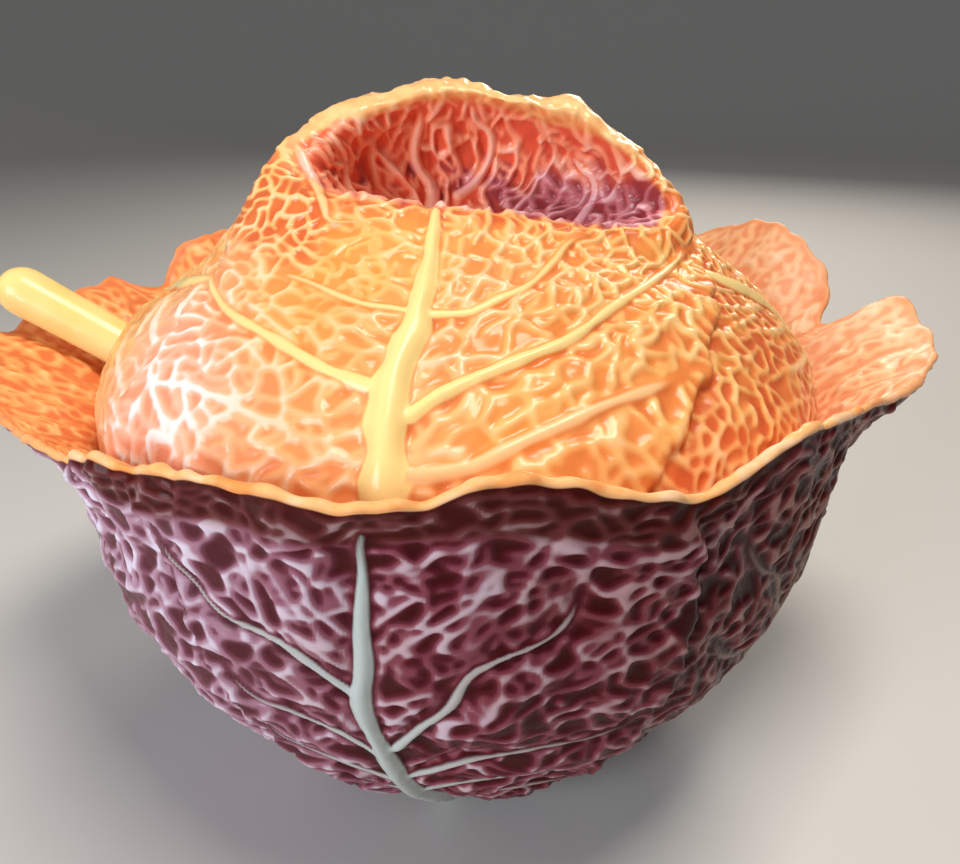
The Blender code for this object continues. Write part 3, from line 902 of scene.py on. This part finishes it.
def make_bowl():
    points, place = bowl_grid()
    skin = Skin(points)
    bowl_leaves(skin)
    x, y, z = skin.flat.T
    outer = (place >= 0.0) & (place < 2.0)
    inner = (place > 2.0) & (place < 3.1)
    at_edge = place == 2.0
    inside = (place >= 2.0) + 0.0
    azimuth = np.arctan2(y, x)
    crease = np.interp(np.degrees(azimuth) % 360.0, *zip(*CREASE, strict=True))
    band = step(z - crease, -1.5, 2.0) * (place < 2.0)  # the flare above the crease of the front leaf

    level = np.stack([-np.sin(azimuth), np.cos(azimuth), np.zeros(len(x))], axis=1)
    skin.grain *= (1.0 - band)[:, None]
    skin.set_grain(level, 0.003 + band)
    bent = warped(skin.flat, 1.5, 12.0, 51)
    coarse, cell = net(skin, bent, 5.2, 1.6, 1.6, 52, drop=0.16, power=1.0)
    fine, _ = net(skin, bent, 3.5, 1.4, 1.25, 53, drop=0.4, power=1.0, within=cell)
    small, _ = net(skin, bent, 3.6, 1.6, 1.05, 54, drop=0.12, power=1.0)
    crowded = np.where(inner, 1.0, band)
    veins = np.maximum(coarse, 0.8 * fine) * (1.0 - crowded) + small * crowded
    veins = veins * (0.65 + 0.35 * step(ripple(skin.flat, 10.0, 55), -1.0, -0.2))
    veins = np.maximum(veins, skin.fold)

    # Where there is relief: not at the rim's edge, the foot or the gallery.
    near_edge = step(np.abs(2.0 - place), 0.0, 0.07) * (outer | inner)
    off_foot = np.where(outer, step(z, 1.0, 10.0), 1.0)
    off_gallery = np.where(inner, step(3.0 - place, 0.02, 0.2), 1.0)
    room = near_edge * off_foot * off_gallery
    amount = room * step(skin.clear, -0.6, 1.8) * np.where(inner, 0.6, 1.0) * (1.0 - 0.3 * band)
    puff = 1.2 * step(skin.clear, 0.0, 12.0) * room
    groove = -0.5 * bell(skin.clear, 1.3, 1.5) * fall(skin.rib, 0.1, 0.8) * room
    lumps = 0.8 * ripple(skin.flat, 30, 56) + 0.25 * ripple(skin.flat, 9, 57)
    overlap = room * step(np.abs(2.0 - place), 0.02, 0.3) * skin.step
    relief = amount * (veins * 1.8 + lumps) + puff + groove + overlap
    relief += skin.rib * np.where(outer, 1.0, room) * np.where(outer, step(z, -1, 6), 1.0)
    relief -= 0.9 * room
    # The flare is thin, so its two sides must not sink into each other.
    relief = np.where((place > 1.0) & (place < 3.0), np.maximum(relief, -0.8), relief)
    relief += at_edge * (0.35 * ripple(skin.flat, 16, 58) + 0.3 * ripple(skin.flat, 6, 59))
    relief = soften(skin, relief, 1)
    bowl = skin.mesh(
        "bowl_shell",
        relief,
        {
            "ridge": soften(skin, unit(veins * step(skin.clear, -0.6, 1.0)) * room, 1),
            "rib": unit(skin.rib / 1.5) * np.where(outer, 1.0, room),
            "rib_tone": skin.rib_tone,
            "inside": inside,
            "edge": soften(skin, at_edge + 0.0, 1) * inside * (0.35 + 0.65 * step(-y, 40, 100)),
            "orange": step(-x, 0, 60),  # flaps of a deeper orange
            "painted_right_shade": step(x, -40, 120),  # painted shade, darker and browner to the right
            # Painted cool light on the bowl's left front, off the band.
            "painted_left_light": step(-x, 5, 90) * step(-y, -60, 40) * (1.0 - band),
            "painted_shade": unit(skin.painted_shade * fall(skin.rib, 0.2, 0.8)) * room,
            "band": band,
            "depths": (place > 3.1) + 0.0,
        },
    )
    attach(bowl, "bowl")
    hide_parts("bowl")
    return bowl


# ---------------------------------------------------------------- ladle


def in_ladle_plane(along, across, height):
    """Points at these distances from the bowl's axis towards the ladle's handle, and across that."""
    c, s = math.cos(LADLE_TURN), math.sin(LADLE_TURN)
    return np.stack([along * c - across * s, along * s + across * c, height + 0.0 * along], axis=-1)


def shell(rings):
    """Points and faces of a closed tube of rings."""
    quads, start, end = grid_quads(*rings.shape[:2])
    return rings.reshape(-1, 3), quads + [start[::-1], end]


def make_ladle():
    turn = np.linspace(0, FULL_TURN, 48, endpoint=False)
    rows = smooth_rows(HANDLE, np.linspace(0, len(HANDLE) - 1, 70))
    heading = np.gradient(rows[:, :2], axis=0)
    heading /= np.linalg.norm(heading, axis=1)[:, None]
    dome = np.linspace(0, math.pi / 2, 9)[1:-1]
    tip = rows[-1:, :2] + heading[-1:] * rows[-1, 2] * np.sin(dome)[:, None]
    middle = np.concatenate([rows[:, :2], tip])
    size = np.concatenate([rows[:, 2], rows[-1, 2] * np.cos(dome)])[:, None]
    size = size * (1.0 + 0.02 * np.sin(np.arange(len(size)) / 6.0))[:, None]
    heading = np.concatenate([heading, np.repeat(heading[-1:], len(dome), axis=0)])
    up = size * np.sin(turn)
    handle = in_ladle_plane(
        middle[:, :1] - heading[:, 1:] * up, size * np.cos(turn), middle[:, 1:] + heading[:, :1] * up
    )
    halves = [smooth_rows(CUP[k : k + 7], np.linspace(0, 6, 40)) for k in (0, 6)]  # outside, and inside
    profile = np.concatenate([halves[0], halves[1][1:]])
    rim = np.linspace(0, FULL_TURN, 128, endpoint=False)
    cup = in_ladle_plane(
        CUP_CENTRE + profile[:, :1] * np.cos(rim), profile[:, :1] * np.sin(rim), CUP_FLOOR + profile[:, 1:]
    )
    points, faces = shell(handle)
    more, others = shell(cup)
    faces += [[k + len(points) for k in face] for face in others]
    data = bpy.data.meshes.new("ladle_body")
    data.from_pydata(np.concatenate([points, more]) * MM, [], faces)
    ladle = make_item("ladle_body", data)
    remesh = ladle.modifiers.new("one_body", "REMESH")
    remesh.mode = "VOXEL"
    remesh.voxel_size = 0.0012
    remesh.use_smooth_shade = True
    smooth = ladle.modifiers.new("soft_joint", "SMOOTH")
    smooth.factor = 0.5
    smooth.iterations = 8
    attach(ladle, "ladle")
    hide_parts("ladle")
    return ladle


# ---------------------------------------------------------------- glazes


class Glaze:
    """A glossy glaze whose colour is laid in coats, by the mesh's named values and a little noise."""

    def __init__(self, name, coat, shine):
        self.material = bpy.data.materials.new(name)
        self.material.use_nodes = True
        self.nodes = self.material.node_tree.nodes
        self.links = self.material.node_tree.links
        self.shader = self.nodes["Principled BSDF"]
        self.shader.inputs["Coat Weight"].default_value = coat
        self.shader.inputs["Coat Roughness"].default_value = 0.06
        self.shader.inputs["IOR"].default_value = 1.45
        self.shader.inputs["Specular IOR Level"].default_value = shine
        self.place = self.nodes.new("ShaderNodeTexCoord").outputs["Object"]

    def value(self, name):
        node = self.nodes.new("ShaderNodeAttribute")
        node.attribute_name = name
        return node.outputs["Fac"]

    def noise(self, size, detail=3.0):
        """Noise between 0 and 1 with lumps of about this size in millimetres."""
        node = self.nodes.new("ShaderNodeTexNoise")
        node.inputs["Scale"].default_value = 1.0 / (size * MM)
        node.inputs["Detail"].default_value = detail
        self.links.new(self.place, node.inputs["Vector"])
        return node.outputs["Fac"]

    def ramp(self, source, *stops):
        """A colour or a grey value from stops of (position, colour)."""
        node = self.nodes.new("ShaderNodeValToRGB")
        node.color_ramp.interpolation = "EASE"
        while len(node.color_ramp.elements) < len(stops):
            node.color_ramp.elements.new(0.5)
        for element, (position, colour) in zip(node.color_ramp.elements, stops, strict=True):
            element.position = position
            element.color = (*colour, 1.0) if isinstance(colour, tuple) else (colour, colour, colour, 1.0)
        self.links.new(source, node.inputs["Fac"])
        return node.outputs["Color"]

    def mix(self, factor, first, second, kind="MIX"):
        node = self.nodes.new("ShaderNodeMix")
        node.data_type = "RGBA"
        node.blend_type = kind
        for name, value in (("Factor", factor), ("A", first), ("B", second)):
            target = next(s for s in node.inputs if s.name == name and s.enabled)
            self.feed(target, (*value, 1.0) if isinstance(value, tuple) else value)
        return next(s for s in node.outputs if s.name == "Result" and s.enabled)

    def math(self, operation, first, second):
        node = self.nodes.new("ShaderNodeMath")
        node.operation = operation
        node.use_clamp = True
        self.feed(node.inputs[0], first)
        self.feed(node.inputs[1], second)
        return node.outputs["Value"]

    def feed(self, target, value):
        if isinstance(value, bpy.types.NodeSocket):
            self.links.new(value, target)
        else:
            target.default_value = value

    def times(self, first, second):
        return self.math("MULTIPLY", first, second)

    def in_pits(self, name, floor):
        """The named value where the relief is low."""
        return self.times(self.times(self.value(name), floor), 0.9)

    def finish(self, colour, ripple_size, ripple_height, low, high):
        """Links the colour, a faint unevenness of the glaze, and roughness that varies between low and high."""
        self.links.new(colour, self.shader.inputs["Base Color"])
        bump = self.nodes.new("ShaderNodeBump")
        bump.inputs["Strength"].default_value = 0.5
        bump.inputs["Distance"].default_value = ripple_height * MM
        self.links.new(self.noise(ripple_size, 2.0), bump.inputs["Height"])
        self.links.new(bump.outputs["Normal"], self.shader.inputs["Normal"])
        rough = self.ramp(self.noise(9.0), (0.3, low), (0.7, high))
        self.links.new(rough, self.shader.inputs["Roughness"])
        return self.material


def lid_glaze():
    glaze = Glaze("lid_glaze", coat=0.05, shine=0.35)
    mix, ramp, value, noise = glaze.mix, glaze.ramp, glaze.value, glaze.noise
    ridge = value("ridge")
    # The lid's oranges, peaches and yellows, its ribs' too, are the glaze's colour with painted warm lamp light in
    # it.
    golden = ramp(ridge, (0.0, (0.86, 0.25, 0.05)), (0.4, (0.93, 0.42, 0.13)), (0.85, (0.95, 0.56, 0.25)))
    amber = ramp(ridge, (0.0, (0.89, 0.31, 0.06)), (0.4, (0.94, 0.48, 0.14)), (0.85, (0.96, 0.60, 0.25)))
    # A pinker copy with whiter ridges: painted cool light on the lid's lower left.
    cool_lit_pink = ramp(ridge, (0.0, (0.88, 0.32, 0.18)), (0.4, (0.94, 0.48, 0.32)), (0.75, (0.97, 0.84, 0.80)))
    colour = mix(ramp(noise(34.0), (0.38, 0.0), (0.62, 1.0)), golden, amber)
    colour = mix(glaze.times(value("tone"), 0.25), colour, (0.95, 0.52, 0.18))
    colour = mix(value("painted_cool_light"), colour, cool_lit_pink)
    floor = ramp(ridge, (0.1, 1.0), (0.55, 0.0))
    # Painted shade in the pits below the veins and beside the edges of leaves.
    colour = mix(glaze.in_pits("painted_shade", floor), colour, (0.66, 0.13, 0.03))
    # Deeper red pits in places, with painted shadow in the pits along the hollow's lower edge at the front.
    colour = mix(glaze.in_pits("deep_red_and_shadow", floor), colour, (0.66, 0.12, 0.035))
    crest = glaze.math("MAXIMUM", ridge, value("rib"))
    red = ramp(crest, (0.0, (0.78, 0.13, 0.06)), (0.4, (0.96, 0.36, 0.20)), (0.85, (0.98, 0.56, 0.40)))
    violet = ramp(crest, (0.0, (0.30, 0.045, 0.055)), (0.4, (0.56, 0.18, 0.20)), (0.85, (0.84, 0.50, 0.54)))
    colour = mix(value("recess"), colour, mix(value("violet"), red, violet))
    lip = ramp(noise(7.0), (0.3, (0.95, 0.48, 0.18)), (0.7, (0.97, 0.62, 0.28)))
    colour = mix(value("lip"), colour, lip)
    rib = mix(value("rib_tone"), (0.95, 0.53, 0.25), (0.97, 0.75, 0.30))
    ribbed = ramp(value("rib"), (0.2, 0.0), (0.8, 1.0))
    colour = mix(mix(value("recess"), ribbed, (0.0, 0.0, 0.0)), colour, rib)
    colour = mix(value("outside"), (0.92, 0.52, 0.20), colour)
    return glaze.finish(colour, 3.0, 0.12, 0.20, 0.32)


def bowl_glaze():
    glaze = Glaze("bowl_glaze", coat=0.0, shine=0.09)
    mix, ramp, value, noise = glaze.mix, glaze.ramp, glaze.value, glaze.noise
    ridge = value("ridge")
    pit, low = (0.0, (0.060, 0.004, 0.005)), (0.26, (0.11, 0.011, 0.020))
    plum = ramp(ridge, pit, low, (0.54, (0.27, 0.066, 0.10)), (0.84, (0.64, 0.50, 0.58)))
    wine = ramp(ridge, pit, low, (0.54, (0.24, 0.056, 0.075)), (0.84, (0.56, 0.38, 0.42)))
    colour = mix(ramp(noise(30.0), (0.36, 0.0), (0.64, 1.0)), plum, wine)
    # A paler, lavender copy of the plum glaze: painted cool light on the bowl's left front.
    pit, low = (0.0, (0.12, 0.030, 0.040)), (0.26, (0.23, 0.075, 0.11))
    pale = ramp(ridge, pit, low, (0.54, (0.50, 0.28, 0.37)), (0.84, (0.80, 0.70, 0.82)))
    colour = mix(glaze.times(value("painted_left_light"), 0.95), colour, pale)
    # Painted shade in the pits below the veins and beside the edges of leaves.
    floor = ramp(ridge, (0.1, 1.0), (0.6, 0.0))
    colour = mix(glaze.in_pits("painted_shade", floor), colour, (0.030, 0.003, 0.003))
    # Painted shade: the band above the crease darker, as under the rim's overhang.
    dark = ramp(ridge, (0.0, (0.060, 0.006, 0.004)), (0.5, (0.12, 0.028, 0.024)), (0.95, (0.34, 0.19, 0.19)))
    colour = mix(glaze.times(value("band"), 0.85), colour, dark)
    rib = mix(value("rib_tone"), (0.52, 0.38, 0.40), (0.52, 0.58, 0.55))
    ribbed = ramp(value("rib"), (0.2, 0.0), (0.75, 1.0))
    colour = mix(ribbed, colour, rib)
    # Painted shade: the glaze darker and browner to the right.
    colour = mix(value("painted_right_shade"), colour, (0.47, 0.25, 0.17), "MULTIPLY")
    # The inner side: flaps, then the bowl's depths, and the rim's edge over both.
    sunny = ramp(ridge, (0.0, (0.74, 0.17, 0.04)), (0.4, (0.92, 0.36, 0.09)), (0.85, (0.96, 0.56, 0.20)))
    rosy = ramp(ridge, (0.0, (0.90, 0.40, 0.21)), (0.4, (0.96, 0.59, 0.35)), (0.85, (0.97, 0.70, 0.48)))
    flap = mix(ramp(noise(26.0), (0.42, 0.0), (0.6, 1.0)), rosy, sunny)
    flap = mix(glaze.times(value("orange"), 0.8), mix(0.7, flap, rosy), sunny)
    flap = mix(glaze.times(ribbed, 0.35), flap, (0.95, 0.58, 0.24))
    flap = mix(value("depths"), flap, (0.92, 0.54, 0.22))
    colour = mix(value("inside"), colour, flap)
    rim = ramp(noise(12.0), (0.3, (0.90, 0.34, 0.10)), (0.5, (0.95, 0.50, 0.20)), (0.7, (0.96, 0.64, 0.40)))
    colour = mix(value("edge"), colour, rim)
    return glaze.finish(colour, 3.0, 0.15, 0.20, 0.32)


def ladle_glaze():
    glaze = Glaze("ladle_glaze", coat=0.1, shine=0.4)
    # Cream glaze, with painted warm lamp light making it yellow.
    colour = glaze.ramp(glaze.noise(30.0, 2.0), (0.3, (0.95, 0.66, 0.20)), (0.7, (0.97, 0.78, 0.32)))
    return glaze.finish(colour, 8.0, 0.25, 0.20, 0.30)


# ---------------------------------------------------------------- stage, lights and camera


def make_stage():
    """A round pale floor that curves up far away from the object."""
    turn = np.linspace(0, FULL_TURN, 96, endpoint=False)
    curve = [(0.001, 0.0), (1.0, 0.0), (2.0, 0.0)]
    curve += [(2.0 + 1.5 * math.sin(a), 1.5 - 1.5 * math.cos(a)) for a in np.linspace(0, math.pi / 2, 14)[1:]]
    points, faces = shell(np.stack([turned(radius, height, turn) for radius, height in curve]))
    data = bpy.data.meshes.new("floor")
    data.from_pydata(points, [], faces[:-1])
    data.flip_normals()
    data.shade_smooth()
    floor = make_item("floor", data)
    material = bpy.data.materials.new("pale_floor")
    material.use_nodes = True
    shader = material.node_tree.nodes["Principled BSDF"]
    shader.inputs["Base Color"].default_value = (0.62, 0.61, 0.59, 1.0)
    shader.inputs["Roughness"].default_value = 0.6
    data.materials.append(material)


def make_light(name, place, target, size, power, colour):
    data = bpy.data.lights.new(name, "AREA")
    data.shape = "RECTANGLE"
    data.size, data.size_y = size
    data.energy = power
    data.color = colour
    lamp = make_item(name, data)
    lamp.location = place
    lamp.rotation_euler = (Vector(target) - Vector(place)).to_track_quat("-Z", "Y").to_euler()


def make_lights():
    make_light("key", (0.15, -0.15, 1.1), (0, 0, 0.15), (0.45, 0.35), 8.5, (1.0, 0.92, 0.82))
    make_light("window", (-0.85, -0.95, 0.5), (0, 0, 0.1), (0.6, 0.6), 13.0, (0.88, 0.93, 1.0))
    make_light("back", (0.5, 1.1, 0.8), (0, 0, 0.18), (0.6, 0.4), 7.0, (1.0, 0.92, 0.82))
    world = bpy.data.worlds.new("soft_room")
    world.use_nodes = True
    background = world.node_tree.nodes["Background"]
    background.inputs["Color"].default_value = (0.80, 0.82, 0.86, 1.0)
    background.inputs["Strength"].default_value = 0.13
    bpy.context.scene.world = world


def make_camera():
    data = bpy.data.cameras.new("camera")
    data.lens = 30.08
    data.sensor_width = 36.0
    camera = make_item("camera", data)
    camera.location = (0.0075, -0.278, 0.245)
    camera.rotation_euler = (math.radians(64.2), 0.0, 0.0)
    bpy.context.scene.camera = camera


make_camera()
make_stage()
make_lights()
make_bowl().data.materials.append(bowl_glaze())
make_lid().data.materials.append(lid_glaze())
make_ladle().data.materials.append(ladle_glaze())
bpy.context.scene.view_settings.view_transform = "Standard"
